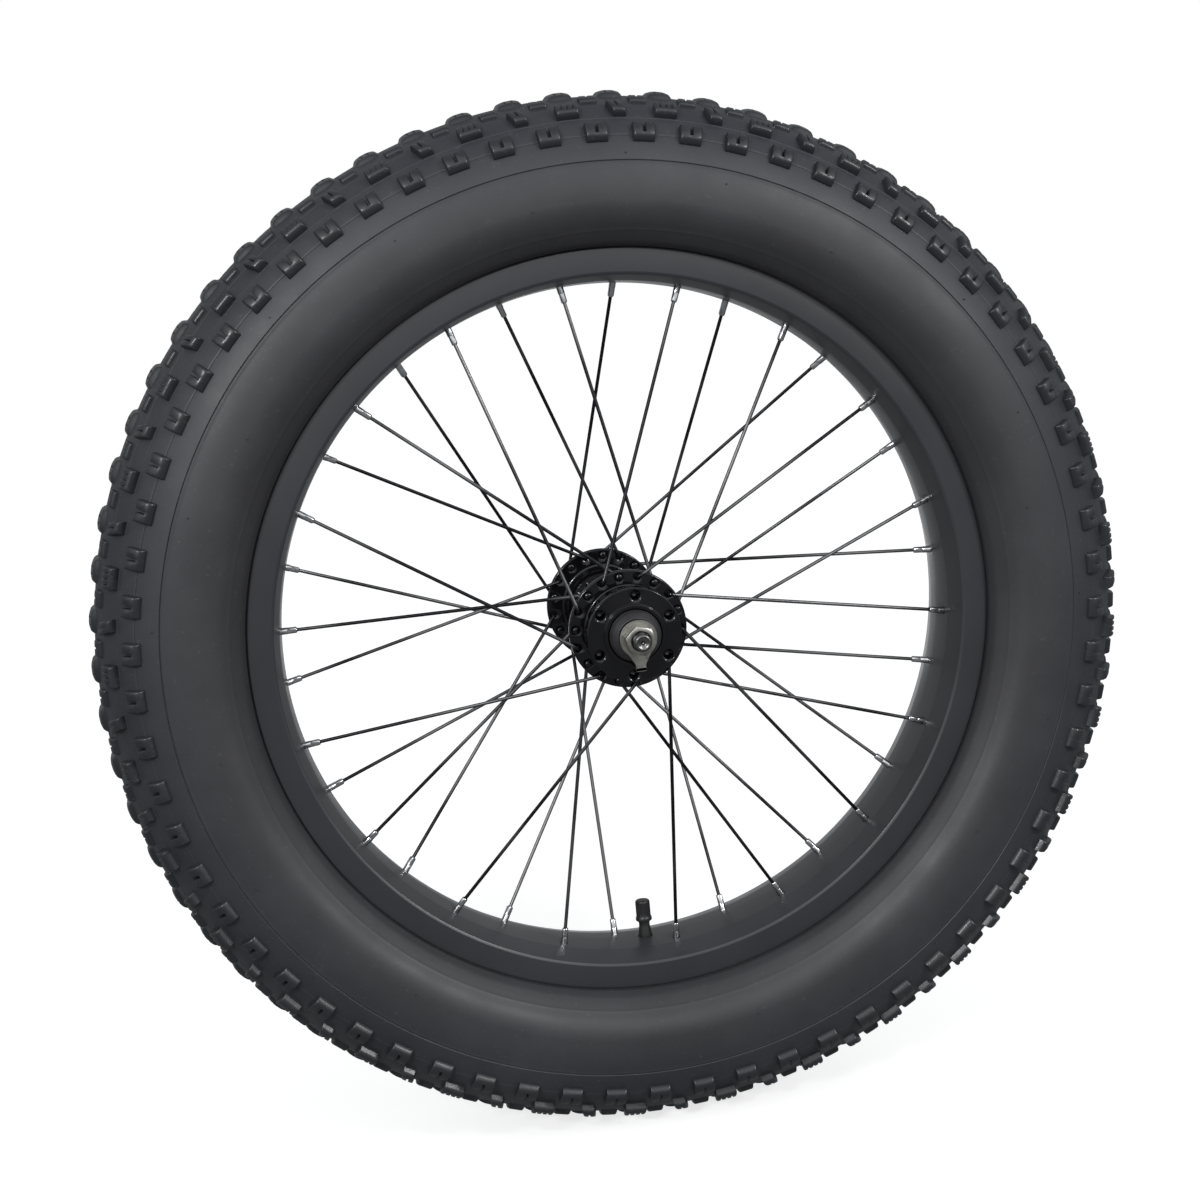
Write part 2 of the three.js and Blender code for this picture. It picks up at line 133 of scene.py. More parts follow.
def revolve(outline, sides, closed=True, ripple=None):
    """A shell turned about the Y axis. Outline points are (distance from the axis, y)."""
    outline = np.array([point[:2] for point in outline], float)
    angles = np.arange(sides) * TAU / sides
    angle, radius = np.meshgrid(angles, outline[:, 0], indexing="ij")
    y = np.broadcast_to(outline[:, 1], radius.shape)
    if ripple is not None:
        radius = radius + ripple(angle, y, radius)
    points = np.stack([radius * np.sin(angle), y, radius * np.cos(angle)], -1)
    return points.reshape(-1, 3), strip_faces(sides, len(outline), closed, True)


def rounded(corners, steps=4, closed=True):
    """An outline whose corners, (distance, y, radius), are rounded."""
    outline = []
    last = len(corners) - 1
    for i, corner in enumerate(corners):
        here = np.array(corner[:2], float)
        radius = corner[2] if len(corner) > 2 else 0.0
        if not radius or (not closed and i in (0, last)):
            outline.append(tuple(here))
            continue
        back = np.array(corners[i - 1][:2], float) - here
        ahead = np.array(corners[(i + 1) % len(corners)][:2], float) - here
        shortest = min(np.linalg.norm(back), np.linalg.norm(ahead))
        back, ahead = back / np.linalg.norm(back), ahead / np.linalg.norm(ahead)
        half = 0.5 * math.acos(float(np.clip(back @ ahead, -1, 1)))
        reach = min(radius / math.tan(half), 0.48 * shortest)
        radius = reach * math.tan(half)
        middle = (back + ahead) / np.linalg.norm(back + ahead)
        centre = here + middle * radius / math.sin(half)
        start, end = here + back * reach - centre, here + ahead * reach - centre
        first = math.atan2(start[1], start[0])
        turn = (math.atan2(end[1], end[0]) - first + math.pi) % TAU - math.pi
        for k in range(steps + 1):
            angle = first + turn * k / steps
            outline.append((centre[0] + radius * math.cos(angle), centre[1] + radius * math.sin(angle)))
    return outline


def mirrored(half):
    """Half a symmetric outline, from y = 0 and back to y = 0, and its mirror image."""
    return list(half) + [(point[0], -point[1], *point[2:]) for point in reversed(half[1:-1])]


def other_end(outline):
    return [(point[0], -point[1], *point[2:]) for point in reversed(outline)]


def sweep(path, radii, sides):
    """A shell round a path, with circles of these radii."""
    path = np.array(path, float)
    tangents = np.gradient(path, axis=0)
    tangents /= np.linalg.norm(tangents, axis=1)[:, None]
    across = np.cross(tangents[0], [0.3, 0.5, 0.8])
    angles = np.arange(sides) * TAU / sides
    rings = []
    for point, tangent, radius in zip(path, tangents, radii):
        across = across - tangent * (across @ tangent)
        across /= np.linalg.norm(across)
        other = np.cross(tangent, across)
        rings.append(point + radius * (np.outer(np.cos(angles), across) + np.outer(np.sin(angles), other)))
    return np.concatenate(rings), strip_faces(len(path), sides, True, False)


def merged(shells):
    points, faces, start = [], [], 0
    for shell_points, shell_faces in shells:
        points.append(np.asarray(shell_points))
        faces += [tuple(index + start for index in face) for face in shell_faces]
        start += len(shell_points)
    return np.concatenate(points), faces


def moved(shell, matrix, offset):
    return shell[0] @ np.asarray(matrix).T + np.asarray(offset), shell[1]


def turned_to(direction):
    """A rotation that takes +Y onto a direction."""
    y = np.asarray(direction, float) / np.linalg.norm(direction)
    x = np.cross(y, [0, 0, 1.0] if abs(y[2]) < 0.9 else [1.0, 0, 0])
    x /= np.linalg.norm(x)
    return np.stack([x, y, np.cross(x, y)], axis=1)


def polar(radius, beta, y):
    angle = math.radians(beta)
    return np.array([radius * math.sin(angle), y, radius * math.cos(angle)])


# ---------------------------------------------------------------- pieces


def piece(name, shell, crease=32.0):
    points, faces = shell
    mesh = bpy.data.meshes.new(name)
    mesh.from_pydata((np.asarray(points) * MM).tolist(), [], faces)
    work = bmesh.new()
    work.from_mesh(mesh)
    bmesh.ops.remove_doubles(work, verts=work.verts, dist=1e-7)
    bmesh.ops.recalc_face_normals(work, faces=work.faces)
    work.to_mesh(mesh)
    work.free()
    smooth(mesh, crease)
    obj = bpy.data.objects.new(name, mesh)
    bpy.context.scene.collection.objects.link(obj)
    return obj


def smooth(mesh, crease):
    mesh.polygons.foreach_set("use_smooth", [True] * len(mesh.polygons))
    mesh.set_sharp_from_angle(angle=math.radians(crease))


def cut(obj, cutters, crease=32.0):
    """Takes closed shells out of a piece."""
    cutter = piece(obj.name + "_cutter", merged(cutters))
    modifier = obj.modifiers.new("holes", "BOOLEAN")
    modifier.operation = "DIFFERENCE"
    modifier.solver = "EXACT"
    modifier.object = cutter
    bpy.context.view_layer.update()
    evaluated = obj.evaluated_get(bpy.context.evaluated_depsgraph_get())
    mesh = bpy.data.meshes.new_from_object(evaluated)
    obj.modifiers.clear()
    obj.data = mesh
    mesh.name = obj.name
    bpy.data.objects.remove(cutter)
    smooth(mesh, crease)
    return obj


def install(obj, body, slot, look, *nodes):
    obj.data.materials.clear()
    obj.data.materials.append(look)
    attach(obj, body)
    if nodes:
        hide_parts(*nodes)
    return obj


# ---------------------------------------------------------------- materials


class Look:
    """A Principled material whose colour, roughness and bump come from nodes."""

    def __init__(self, name, metallic=0.0, **sockets):
        self.material = bpy.data.materials.new(name)
        self.material.use_nodes = True
        self.nodes = self.material.node_tree.nodes
        self.links = self.material.node_tree.links
        self.shader = self.nodes["Principled BSDF"]
        self.shader.inputs["Metallic"].default_value = metallic
        for socket, value in sockets.items():
            self.shader.inputs[socket.replace("_", " ")].default_value = value
        self.place = self.nodes.new("ShaderNodeTexCoord").outputs["Object"]

    def link(self, source, target):
        self.links.new(source, target)

    def noise(self, scale, detail, roughness=0.55):
        node = self.nodes.new("ShaderNodeTexNoise")
        node.inputs["Scale"].default_value = scale
        node.inputs["Detail"].default_value = detail
        node.inputs["Roughness"].default_value = roughness
        self.link(self.place, node.inputs["Vector"])
        return node.outputs["Fac"]

    def maths(self, operation, *values):
        node = self.nodes.new("ShaderNodeMath")
        node.operation = operation
        for socket, value in zip(node.inputs, values):
            if isinstance(value, (int, float)):
                socket.default_value = value
            else:
                self.link(value, socket)
        return node.outputs["Value"]

    def ramp(self, source, low, high, low_value, high_value):
        node = self.nodes.new("ShaderNodeMapRange")
        for socket, value in zip(node.inputs[1:5], (low, high, low_value, high_value)):
            socket.default_value = value
        self.link(source, node.inputs["Value"])
        return node.outputs["Result"]

    def mix(self, factor, first, second):
        node = self.nodes.new("ShaderNodeMix")
        node.data_type = "RGBA"
        self.link(factor, node.inputs["Factor"])
        for socket, value in ((node.inputs["A"], first), (node.inputs["B"], second)):
            if isinstance(value, tuple):
                socket.default_value = (*value, 1.0)
            else:
                self.link(value, socket)
        return node.outputs["Result"]

    def distance_from_axle(self):
        split = self.nodes.new("ShaderNodeSeparateXYZ")
        self.link(self.place, split.inputs["Vector"])
        x, z = split.outputs["X"], split.outputs["Z"]
        squares = self.maths("ADD", self.maths("MULTIPLY", x, x), self.maths("MULTIPLY", z, z))
        return self.maths("SQRT", squares)

    def bump(self, height, distance):
        node = self.nodes.new("ShaderNodeBump")
        node.inputs["Strength"].default_value = 1.0
        node.inputs["Distance"].default_value = distance
        self.link(height, node.inputs["Height"])
        self.link(node.outputs["Normal"], self.shader.inputs["Normal"])

    def colour(self, source):
        self.link(source, self.shader.inputs["Base Color"])

    def roughness(self, source):
        self.link(source, self.shader.inputs["Roughness"])


def plain_look(name, dark, light, rough, patch, grain, depth, metallic=0.0, **sockets):
    """Patches between two colours, roughness between two values, and a fine grain in relief."""
    look = Look(name, metallic, **sockets)
    patches = look.noise(patch, 4.0)
    look.colour(look.mix(look.ramp(patches, 0.35, 0.65, 0.0, 1.0), dark, light))
    look.roughness(look.ramp(look.noise(patch * 3.1, 3.0), 0.3, 0.7, *rough))
    look.bump(look.noise(grain, 2.0), depth)
    return look.material


def tyre_look_painted_shade(name, inner, outer, rough, grain_depth):
    """Rubber, a little bluer out at the tread and darker there on the casing: painted shade for the fall of
    light across the tyre. Bloom lies in soft patches.
    """
    look = Look(name, Specular_IOR_Level=0.5)
    # painted shade: the colour shifts with distance from the axle, from the inner tone near the rim to the
    # darker, bluer outer tone at the tread
    reach = look.ramp(look.distance_from_axle(), 0.240, 0.270, 0.0, 1.0)
    base = look.mix(reach, inner, outer)
    bloom = look.ramp(look.noise(14.0, 6.0, 0.65), 0.42, 0.7, 0.0, 0.5)
    base = look.mix(bloom, base, tuple(1.6 * c for c in inner))
    specks = look.ramp(look.noise(420.0, 1.0), 0.68, 0.76, 0.0, 0.3)
    look.colour(look.mix(specks, base, (0.08, 0.08, 0.08)))
    look.roughness(look.ramp(look.noise(35.0, 4.0), 0.3, 0.7, *rough))
    fine = look.maths("MULTIPLY", look.noise(1300.0, 2.0), 0.5)
    look.bump(look.maths("ADD", look.noise(160.0, 3.0), fine), grain_depth)
    return look.material


# the inner and outer tones are the two ends of the painted shade across the tyre
sidewall_rubber = tyre_look_painted_shade("tyre_casing", (0.0315, 0.0315, 0.0355), (0.023, 0.026, 0.032),
                            (0.42, 0.52), 0.00005)
tread_rubber = tyre_look_painted_shade("tyre_tread", (0.020, 0.021, 0.023), (0.019, 0.021, 0.025),
                         (0.22, 0.38), 0.00010)
rim_paint = plain_look("rim_paint", (0.030, 0.030, 0.035), (0.037, 0.038, 0.043), (0.28, 0.35),
                       9.0, 1500.0, 0.00002)
hub_paint = plain_look("hub_gloss_black", (0.0025, 0.0025, 0.004), (0.005, 0.005, 0.0065), (0.06, 0.13),
                       60.0, 900.0, 0.00001)


def spoke_look():
    """Black-plated steel, with painted shade: darker on the heads and elbows than along the spokes."""
    look = Look("spoke_black_steel", 0.9)
    patches = look.ramp(look.noise(11.0, 2.0), 0.44, 0.62, 0.0, 1.0)
    shank = look.mix(patches, (0.022, 0.022, 0.025), (0.19, 0.19, 0.195))
    # painted shade: the same steel gets a darker base colour near the flange, on the heads and elbows
    reach = look.ramp(look.distance_from_axle(), 0.0317, 0.0335, 0.0, 1.0)
    look.colour(look.mix(reach, (0.04, 0.04, 0.043), shank))
    look.roughness(look.ramp(look.distance_from_axle(), 0.0317, 0.0335, 0.14, 0.36))
    look.bump(look.noise(900.0, 2.0), 0.000002)
    return look.material


spoke_finish = spoke_look()
nipple_plate = plain_look("nipple_nickel", (0.48, 0.485, 0.5), (0.64, 0.645, 0.66), (0.16, 0.28),
                          200.0, 2500.0, 0.00001, metallic=1.0)
zinc_plate = plain_look("zinc_plated_steel", (0.30, 0.30, 0.275), (0.48, 0.47, 0.43), (0.24, 0.4),
                        150.0, 1800.0, 0.00003, metallic=1.0)
axle_steel = plain_look("axle_steel", (0.10, 0.10, 0.10), (0.20, 0.20, 0.195), (0.2, 0.34),
                        160.0, 1800.0, 0.00003, metallic=1.0)
bearing_steel = plain_look("bearing_steel", (0.35, 0.36, 0.37), (0.46, 0.47, 0.48), (0.12, 0.28),
                           120.0, 2200.0, 0.00001, metallic=1.0)
cap_rubber = plain_look("dust_cap_rubber", (0.022, 0.022, 0.024), (0.034, 0.034, 0.036), (0.42, 0.6),
                        90.0, 1600.0, 0.00004)
tube_rubber = plain_look("tube_rubber", (0.018, 0.018, 0.019), (0.03, 0.03, 0.03), (0.45, 0.7),
                         22.0, 900.0, 0.00005)
strip_cloth = plain_look("strip_cloth", (0.02, 0.02, 0.022), (0.045, 0.045, 0.048), (0.7, 0.9),
                         60.0, 1400.0, 0.0002)
valve_rubber = plain_look("valve_rubber", (0.010, 0.010, 0.010), (0.018, 0.018, 0.018), (0.4, 0.6),
                          150.0, 1500.0, 0.00004)
valve_brass = plain_look("valve_brass", (0.42, 0.30, 0.13), (0.58, 0.44, 0.22), (0.22, 0.4),
                         220.0, 2500.0, 0.00002, metallic=1.0)
cap_plastic = plain_look("cap_plastic", (0.012, 0.012, 0.013), (0.02, 0.02, 0.021), (0.3, 0.45),
                         200.0, 1800.0, 0.00002)

# ---------------------------------------------------------------- tyre


# The casing's outline is arcs that run into each other: (centre, radius, where the arc ends). The
# angle is that of the outward normal: 0 at the crown, 90 where the tyre is widest.
CASING_ARCS = [
    ((CASING_CENTRE, 0.0), CASING_RADIUS, 60.0),
    ((235.0, -13.86), 64.5, 90.0),
    ((235.0, 28.64), 22.0, 125.0),
    ((256.796, -2.488), 60.0, SIDEWALL_END),
]


def casing_point(t_deg, height=0.0):
    t = math.radians(t_deg)
    for centre, radius, end in CASING_ARCS:
        if t_deg <= end:
            break
    return centre[0] + (radius + height) * math.cos(t), centre[1] + (radius + height) * math.sin(t)


# Fine lines moulded round the casing: (angle from the crown, height, half width in degrees).
MOULD_LINES = [
    (12.0, -0.3, 0.5), (29.5, -0.2, 0.4), (43.4, -0.3, 0.4), (57.6, -0.22, 0.35), (71.2, -0.5, 0.35),
    (72.3, 0.15, 0.6), (129.0, 0.12, 1.2),
]


def casing_relief(t_deg):
    relief = 0.0
    for centre, height, half in MOULD_LINES:
        distance = abs(t_deg - centre) / half
        if distance < 1:
            relief += height * (0.5 + 0.5 * math.cos(math.pi * distance))
    return relief


def tyre_outline():
    angles = set(np.arange(0, SIDEWALL_END + 0.1, 2.0).tolist())
    for centre, _, half in MOULD_LINES:
        angles |= {centre + half * step for step in (-1, -0.5, 0, 0.5, 1)}
    outer = [casing_point(t, casing_relief(t)) for t in sorted(angles)]
    bead = rounded([
        outer[-1], (210.3, 33.8, 0.6), (210.1, 29.9, 0.3), (204.2, 29.3, 0.8), (203.6, 26.0, 1.2),
        (208.6, 26.2, 1.5), casing_point(SIDEWALL_END, -CASING_WALL),
    ], closed=False)
    inner = [casing_point(t, -CASING_WALL) for t in np.arange(SIDEWALL_END, -0.1, -6.0)]
    return outer + bead[1:-1] + inner


def vent_nubs():
    """The stubs that moulding vents leave on the shoulder and sidewall."""
    stub = rounded([(0, -0.6), (0.45, -0.6), (0.4, 0.9, 0.15), (0, 0.95)], closed=False)
    shell = revolve(stub, 8, closed=False)
    shells = []
    for side in (NEAR, FAR):
        for k in range(24):
            beta = 15 * k + 4.5 + 2.5 * math.sin(5.0 * k)
            t_deg = (67.5, 78.0, 92.0)[k % 3]
            radius, y = casing_point(t_deg)
            out = math.radians(t_deg)
            normal = polar(math.cos(out), beta, side * math.sin(out))
            shells.append(moved(shell, turned_to(normal), polar(radius, beta, side * y)))
    return shells


SUNK = 1.4                          # how deep a block's foot lies in the casing
# How a block's top rounds off: (in from its edge, how far it drops there).
SHOULDER = ((0.0, 0.95), (0.22, 0.5), (0.6, 0.16), (1.2, 0.0))
NO_SHOULDER = ((0.0, 0.0),)


def block(lines_s, lines_u, open_cells, height, bevel=0.3, lean=0.0, draft=0.3, shoulder=SHOULDER):
    """A tread block in (round the wheel, round the casing, height) millimetres.

    The lines divide it into cells, and open_cells are the (s, u) cells that are left out as sipes.
    The edges of the whole block are rounded off by the shoulder, whose lines are added to its own.
    """
    work = bmesh.new()
    corners = {}
    extra = len(shoulder) - 1
    middle = 0.5 * (lines_u[0] + lines_u[-1])

    def with_shoulder(lines):
        low = [(lines[0] + inset, drop) for inset, drop in shoulder[:extra]]
        high = [(lines[-1] - inset, drop) for inset, drop in reversed(shoulder[:extra])]
        ends = [(lines[0] + shoulder[-1][0], 0.0), (lines[-1] - shoulder[-1][0], 0.0)]
        return low + ends[:1] + [(line, 0.0) for line in lines[1:-1]] + ends[1:] + high

    rows_s, rows_u = with_shoulder(lines_s), with_shoulder(lines_u)
    open_cells = {(i + extra, j + (0 if j == 0 else extra)) for i, j in open_cells}
    if any(j == 0 for _, j in open_cells):
        open_cells |= {(i, k) for i, j in open_cells if j == 0 for k in range(extra + 1)}
    spread_s = {0: -draft, len(rows_s) - 1: draft}
    spread_u = {0: -draft, len(rows_u) - 1: draft}

    def corner(i, j, top):
        if (i, j, top) not in corners:
            (s, drop_s), (u, drop_u) = rows_s[i], rows_u[j]
            h = height(s, u) - max(drop_s, drop_u) if top else -SUNK
            if not top:
                s, u = s + spread_s.get(i, 0), u + spread_u.get(j, 0)
            corners[i, j, top] = work.verts.new((s + lean * (u - middle), u, h))
        return corners[i, j, top]

    cells = {(i, j) for i in range(len(rows_s) - 1) for j in range(len(rows_u) - 1)} - open_cells
    for i, j in cells:
        square = ((i, j), (i + 1, j), (i + 1, j + 1), (i, j + 1))
        work.faces.new([corner(*at, True) for at in square])
        work.faces.new([corner(*at, False) for at in reversed(square)])
        beside = ((i, j - 1), (i + 1, j), (i, j + 1), (i - 1, j))
        for k in range(4):
            if beside[k] not in cells:
                a, b = square[k], square[(k + 1) % 4]
                work.faces.new([corner(*b, True), corner(*a, True), corner(*a, False), corner(*b, False)])
    bmesh.ops.recalc_face_normals(work, faces=work.faces)
    edges = [
        edge for edge in work.edges
        if edge.calc_face_angle(0.0) > math.radians(42) and max(v.co.z for v in edge.verts) > -SUNK + 0.1
    ]
    bmesh.ops.bevel(
        work, geom=edges, offset=bevel, segments=1, profile=0.55, affect="EDGES", clamp_overlap=True)
    work.verts.index_update()
    shell = (np.array([v.co for v in work.verts]), [tuple(v.index for v in f.verts) for f in work.faces])
    work.free()
    return shell


def on_casing(shell, beta, side):
    """A tread block laid on the casing at an angle round the wheel."""
    s, u, h = shell[0].T
    t = u / CASING_RADIUS
    tube = CASING_RADIUS + h
    radius = CASING_CENTRE + tube * np.cos(t)
    reference = CASING_CENTRE + (CASING_RADIUS + 4) * math.cos(float(t.mean()))
    angle = math.radians(beta) + s / reference
    points = np.stack([radius * np.sin(angle), side * tube * np.sin(t), radius * np.cos(angle)], -1)
    return points, shell[1]


def arc_mm(t_deg):
    return CASING_RADIUS * math.radians(t_deg)


def profile_height(points):
    """Height of a block's top, from (angle from the crown, height) pairs."""
    us = [arc_mm(t) for t, _ in points]
    heights = [h for _, h in points]
    return lambda s, u: float(np.interp(u, us, heights))


CROWN_WEAR = 0.9                    # how far the centre blocks stand below the tyre's full radius
CROWN_HEIGHT = TYRE_RADIUS - CASING_CENTRE - CASING_RADIUS - CROWN_WEAR

side_block = block(
    [-6.0, -0.95, 0.95, 6.0],
    [arc_mm(t) for t in (50.0, 54.0, 58.2, 60.4, 62.4)],
    [(1, 0), (1, 1)],
    profile_height([(50.0, 3.7), (58.4, 4.5), (60.4, 3.3), (62.4, 1.4)]))
side_nick = block(
    [-0.55, 0.55], [arc_mm(47.6), arc_mm(49.0)], [], lambda s, u: 0.9, bevel=0.2, draft=0.15,
    shoulder=NO_SHOULDER)
wide_block = block(
    [-6.1, -3.7, -2.7, -0.5, 0.5, 2.7, 3.7, 6.1],
    [arc_mm(t) for t in (32.4, 36.0, 39.0, 42.2)],
    [(1, 0), (1, 1), (3, 0), (3, 1), (5, 0), (5, 1)],
    profile_height([(32.4, 4.6), (40.0, 5.2), (42.2, 3.4)]))
narrow_block = block(
    [-3.5, -0.6, 0.6, 3.5],
    [arc_mm(t) for t in (30.4, 34.4, 38.4, 42.0)],
    [(1, 0), (1, 1)],
    profile_height([(30.4, 4.2), (39.8, 5.2), (42.0, 3.4)]), lean=0.28)
second_block = block(
    [-4.6, -0.6, 0.6, 4.6],
    [arc_mm(t) for t in (16.2, 18.6, 22.4, 25.6)],
    [(1, 0), (1, 1)],
    profile_height([(16.2, 2.0), (23.0, 2.6), (25.6, 1.7)]), draft=0.8)


def crown_height(s, u):
    """The centre blocks are low hills, rounded off along and across the tread."""
    across = (u - arc_mm(1.3)) / (arc_mm(13.6) - arc_mm(1.3))
    return CROWN_HEIGHT - 1.0 * across ** 3 - 1.5 * abs(s / 7.0) ** 2.4


centre_block = block(
    [-7.0, -5.6, -4.0, -2.5, -1.5, 1.5, 2.5, 4.0, 5.6, 7.0],
    [arc_mm(t) for t in (1.3, 4.2, 7.4, 10.4, 13.6)],
    [(3, 1), (3, 2), (5, 1), (5, 2)],
    crown_height, draft=2.6, shoulder=((0.0, 0.9), (0.4, 0.42), (1.1, 0.1), (1.3, 0.05)))

SIDE_PHASE = 1.3
CENTRE_PHASE = SIDE_PHASE + 180 / PITCHES
centre_shells, shoulder_shells, side_shells = [], [], []
for side in (NEAR, FAR):
    for k in range(PITCHES):
        on_pitch = SIDE_PHASE + 360 * k / PITCHES
        between = CENTRE_PHASE + 360 * k / PITCHES
        side_shells.append(on_casing(side_block, on_pitch, side))
        for offset in (-0.85, 0.85):
            side_shells.append(on_casing(side_nick, on_pitch + offset, side))
        shoulder_shells.append(on_casing(narrow_block if k % 2 == 0 else wide_block, between, side))
        shoulder_shells.append(on_casing(second_block, on_pitch, side))
        centre_shells.append(on_casing(centre_block, between, side))

casing = piece("tyre_casing", merged([revolve(tyre_outline() + [
    (r, -y) for r, y in reversed(tyre_outline())][1:-1], 360)] + vent_nubs()), 40)
install(casing, "wheel", "tyre_rubber", sidewall_rubber, "tyre")
tread_shells = {"tread_centre": centre_shells, "tread_shoulder": shoulder_shells, "tread_side": side_shells}
for name, shells in tread_shells.items():
    install(piece(name, merged(shells), 52), "wheel", "tyre_rubber", tread_rubber, "tyre")

# ---------------------------------------------------------------- tube, strip, rim


TUBE_CENTRE = 244.5
TUBE_RADIUS = 41.5
TUBE_WALL = 1.2
VALVE_BETA = 180


def tube_circle(radius):
    steps = 40
    angles = [TAU * k / steps for k in range(steps)]
    return [(TUBE_CENTRE + radius * math.cos(a), radius * math.sin(a)) for a in angles]


def valve_rod(radius, near, far):
    """A plain rod along the valve's radius of the wheel, for cutting its holes."""
    outline = [(0, near), (radius, near), (radius, far), (0, far)]
    direction = polar(1, VALVE_BETA, 0)
    return moved(revolve(outline, 24, closed=False), turned_to(direction), (0, 0, 0))


tube_faces = [revolve(tube_circle(radius), 160) for radius in (TUBE_RADIUS, TUBE_RADIUS - TUBE_WALL)]
tube = piece("inner_tube_piece", merged(tube_faces))
install(tube, "wheel", "tube_rubber", tube_rubber, "inner_tube")
strip = piece("rim_strip_piece", revolve(rounded(mirrored(
    [(196.7, 0), (196.7, 18.4, 0.3), (197.5, 18.4, 0.3), (197.5, 0)])), 240))
cut(strip, [valve_rod(4.6, 190, 205)])
install(strip, "wheel", "strip_cloth", strip_cloth, "rim_strip")

rim_outline = rounded(mirrored([
    (191.9, 0), (193.0, 16.0, 6.0), (196.4, 29.6, 1.0), (200.9, 29.6, 0.6), (200.6, 20.6, 0.3),
    (202.6, 20.6, 0.8), (203.2, 28.8, 1.6), (RIM_RADIUS, 29.8, 0.6), (RIM_RADIUS, RIM_HALF_WIDTH - 0.9, 0.9),
    (196.4, RIM_HALF_WIDTH, 0.7), (194.8, RIM_HALF_WIDTH - 0.7, 0.8), (191.2, 16.0, 8.0), (BARREL_RADIUS, 0),
]), 5)
rim = piece("rim_piece", revolve(rim_outline, 360))

# ---------------------------------------------------------------- spokes and nipples


def spoke_layout(index):
    """The same lacing as the CAD part: odd spokes on the disc side, trailing ones outside their flange."""
    disc_side = index % 2 == 1
    trailing = index % 4 in (0, 1)
    side = NEAR if disc_side else FAR
    flange_y = DISC_FLANGE_Y if disc_side else PLAIN_FLANGE_Y
    rim_beta = 10 * index + 5
    hub_beta = rim_beta + (-SPOKE_CROSS_DEG if trailing else SPOKE_CROSS_DEG)
    outward = side if trailing else -side
    face = flange_y + outward * FLANGE_THICKNESS / 2
    lift = (2.4 if disc_side else 2.9) if trailing else 1.4
    elbow = polar(SPOKE_CIRCLE_RADIUS, hub_beta, face + outward * lift)
    head = polar(SPOKE_CIRCLE_RADIUS, hub_beta, face - outward * (FLANGE_THICKNESS + 1.9))
    return head, elbow, polar(BARREL_RADIUS, rim_beta, side * RIM_HOLE_OFFSET)


def along_spoke(elbow, rim_point):
    """The spoke's direction, and the distance along it of a radius measured at its rim hole."""
    direction = rim_point - elbow
    reach = np.linalg.norm(direction)
    outwards = np.array([rim_point[0], 0, rim_point[2]])
    outwards /= np.linalg.norm(outwards)
    stretch = reach / (BARREL_RADIUS - elbow @ outwards)
    return direction / reach, lambda radius: reach + (radius - BARREL_RADIUS) * stretch


# A spoke's head and neck: (distance from the end of the head, radius).
SPOKE_HEAD = (
    (0, 0), (0.02, 1.0), (0.25, 1.7), (0.6, 2.08), (0.95, 2.1), (1.3, 1.7), (1.8, 1.15), (2.3, 1.0),
)


def spoke_shell(head, elbow, rim_point):
    direction, distance = along_spoke(elbow, rim_point)
    shank = elbow - head
    length = np.linalg.norm(shank)
    shank /= length
    path, radii = [], []
    for along, radius in SPOKE_HEAD:
        path.append(head + shank * along)
        radii.append(radius)
    bend = min(2.3, 0.42 * length)
    before, after = elbow - shank * bend, elbow + direction * bend
    for k in range(9):
        w = k / 8
        path.append((1 - w) ** 2 * before + 2 * w * (1 - w) * elbow + w * w * after)
        radii.append(SPOKE_RADIUS)
    end = distance(NIPPLE_HEAD_RADIUS)
    for along in (0.33 * end, 0.66 * end, end, end + 0.01):
        path.append(elbow + direction * along)
        radii.append(SPOKE_RADIUS)
    radii[-1] = 0
    return sweep(path, radii, 12)


NIPPLE_SIDES = 24
NIPPLE_FLAT = 1.66                  # half the width across its four flats


def nipple_flats(angle, y, radius):
    """Four flats on the hub end of a nipple, and round above them."""
    turn = (angle + math.pi / 4) % (math.pi / 2) - math.pi / 4
    square = NIPPLE_FLAT / np.cos(turn)
    flat = np.minimum(radius, square) - radius
    return np.where((y > 0.4) & (y < 5.4), flat, 0.0)


def nipple_shell(elbow, rim_point):
    direction, distance = along_spoke(elbow, rim_point)
    start, seat = distance(NIPPLE_TIP_RADIUS), distance(NIPPLE_HEAD_RADIUS)
    length = seat - start
    outline = [
        (1.05, 0.9), (1.12, 0.1), (1.4, 0.0), (1.62, 0.25), (1.9, 0.8), (1.92, 5.0), (1.92, 5.3), (1.92, 5.6),
        (1.94, length - 3.6), (2.0, length - 1.2), (2.5, length - 0.3), (3.0, length), (3.0, length + 0.5),
        (2.5, length + 1.2), (1.05, length + 1.3),
    ]
    shell = revolve(outline, NIPPLE_SIDES, ripple=nipple_flats)
    return moved(shell, turned_to(direction), elbow + direction * start)


def nipple_hole(elbow, rim_point):
    direction, _ = along_spoke(elbow, rim_point)
    outline = [(0, -8), (3.1, -8), (3.1, -0.9), (2.25, 0.2), (2.25, 7), (0, 7)]
    return moved(revolve(outline, 20, closed=False), turned_to(direction), rim_point)


layouts = [spoke_layout(index) for index in range(SPOKE_COUNT)]
holes = [nipple_hole(elbow, rim_point) for _, elbow, rim_point in layouts]
cut(rim, holes + [valve_rod(4.35, 184, 205)])
install(rim, "wheel", "rim_black", rim_paint, "rim")
for index, (head, elbow, rim_point) in enumerate(layouts):
    number = f"{index + 1:02d}"
    spoke = piece("spoke_wire_" + number, spoke_shell(head, elbow, rim_point), 50)
    install(spoke, "wheel", "spoke_black", spoke_finish, "spoke_" + number)
    nipple = piece("nipple_" + number, nipple_shell(elbow, rim_point))
    install(nipple, "wheel", "nipple_silver", nipple_plate, "spoke_" + number)

# ---------------------------------------------------------------- hub shell


def flange(middle, low_foot, high_foot, low_fillet, high_fillet):
    low, high = middle - FLANGE_THICKNESS / 2, middle + FLANGE_THICKNESS / 2
    rim_edges = [(FLANGE_RADIUS, low, 0.9), (FLANGE_RADIUS, high, 0.9)]
    return [(low_foot, low, low_fillet), *rim_edges, (high_foot, high, high_fillet)]


